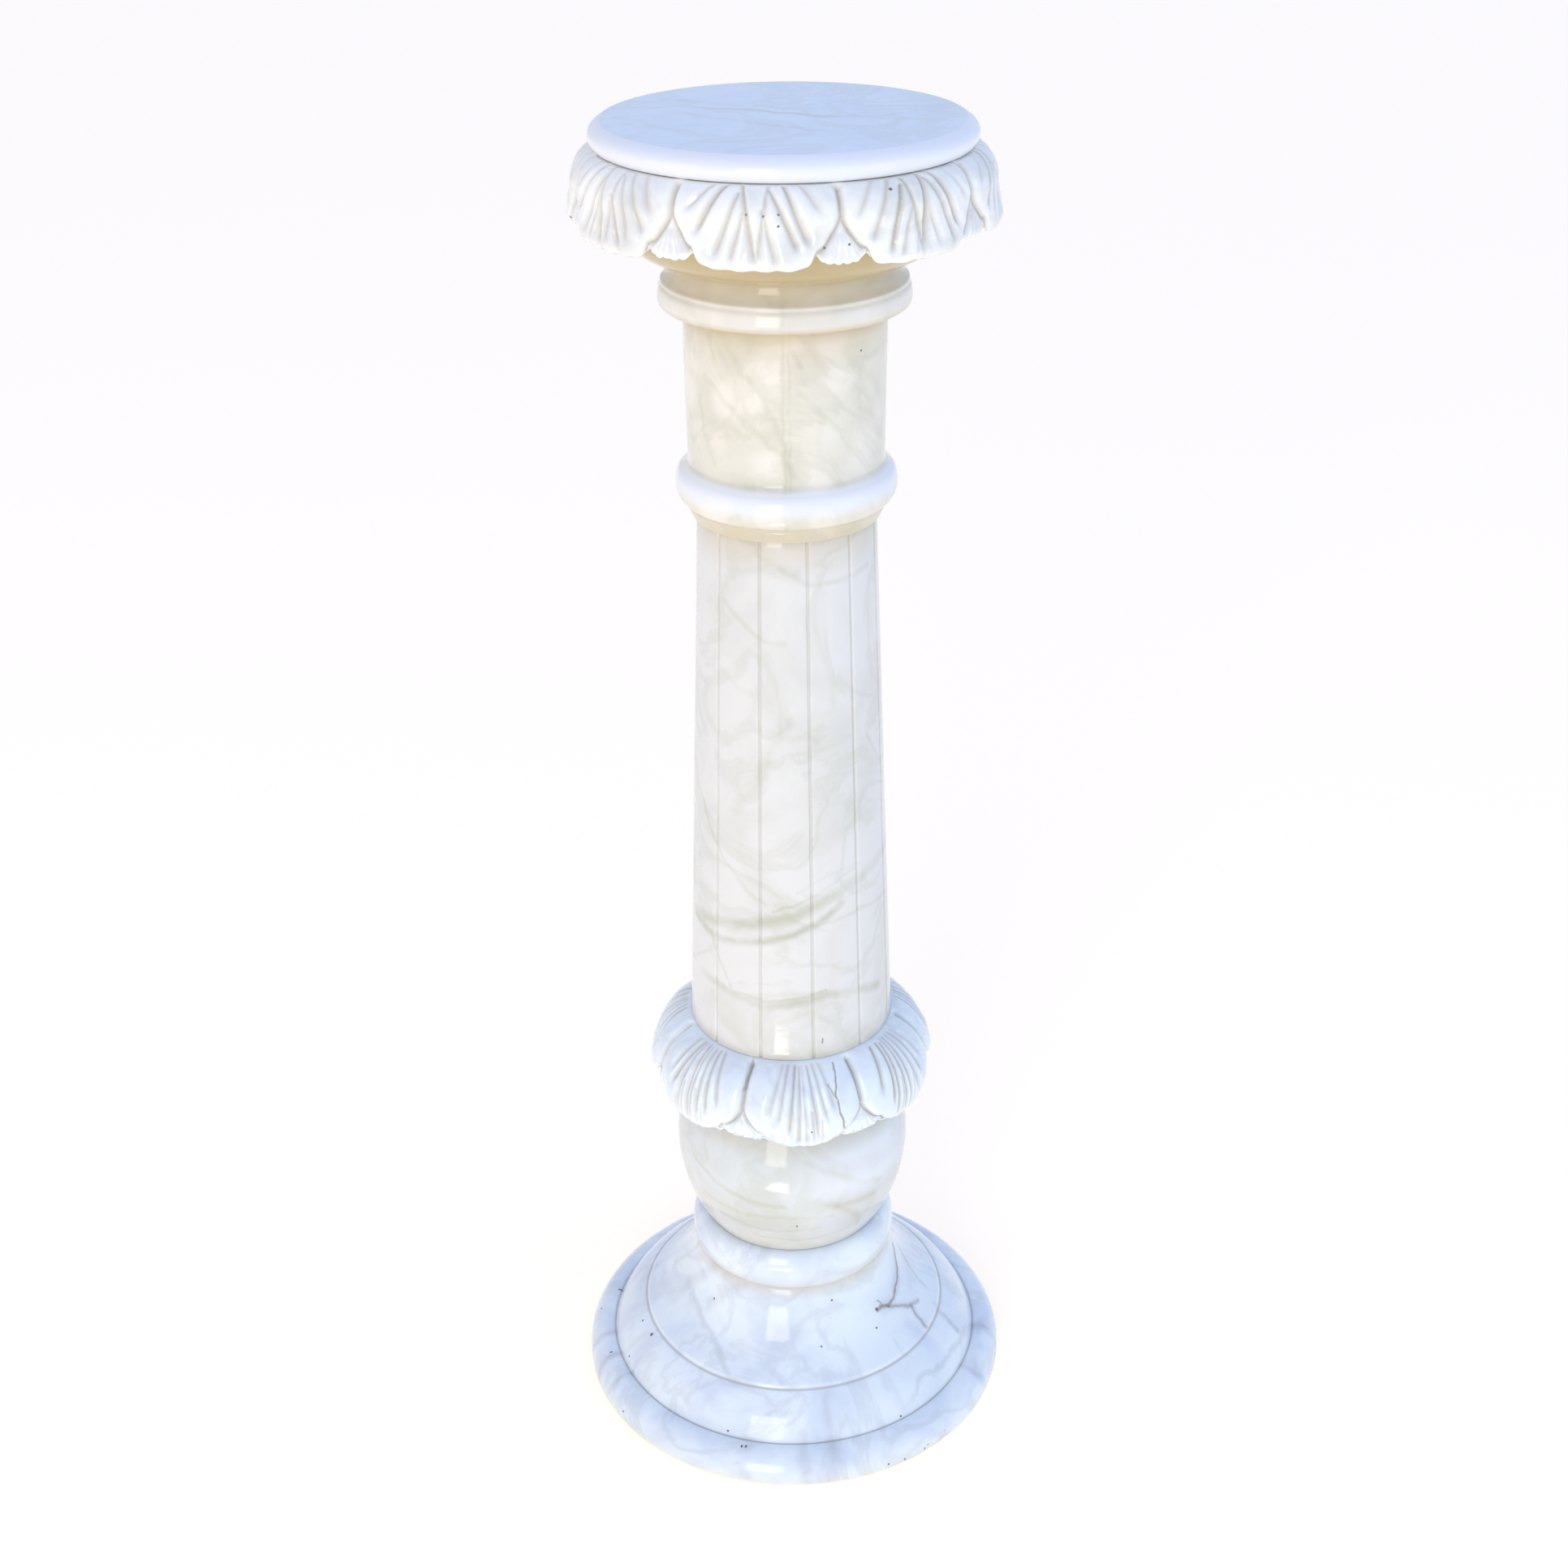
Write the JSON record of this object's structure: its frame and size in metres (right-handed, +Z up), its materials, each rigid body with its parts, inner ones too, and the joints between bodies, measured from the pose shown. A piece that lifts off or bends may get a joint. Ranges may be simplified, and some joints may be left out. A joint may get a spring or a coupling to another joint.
{
  "type": "alabaster pedestal column",
  "caption": "Turned and carved alabaster pedestal column with a flat round top, hanging leaf capital, fluted shaft, leaf collar over a ball and a round stepped base.",
  "frame": {"origin": "centre of the round underside, on the floor", "axes": "+Z up along the axis of the column, -Y towards the side that the picture shows"},
  "size_m": [0.34, 0.34, 1],
  "materials": {
    "base": "polished bluish white alabaster with brown cracks",
    "ball": "polished ivory alabaster",
    "leaf_collar": "polished cool white alabaster, carved",
    "shaft": "polished white alabaster with olive grey veins",
    "neck": "polished ivory alabaster with pale mottling",
    "leaf_capital": "polished warm white alabaster, carved",
    "top_slab": "polished white alabaster"
  },
  "bodies": {
    "root": {"base": "base", "ball": "ball", "leaf_collar": "leaf_collar", "shaft": "shaft", "neck": "neck", "leaf_capital": "leaf_capital", "top_slab": "top_slab"}
  },
  "joints": []
}
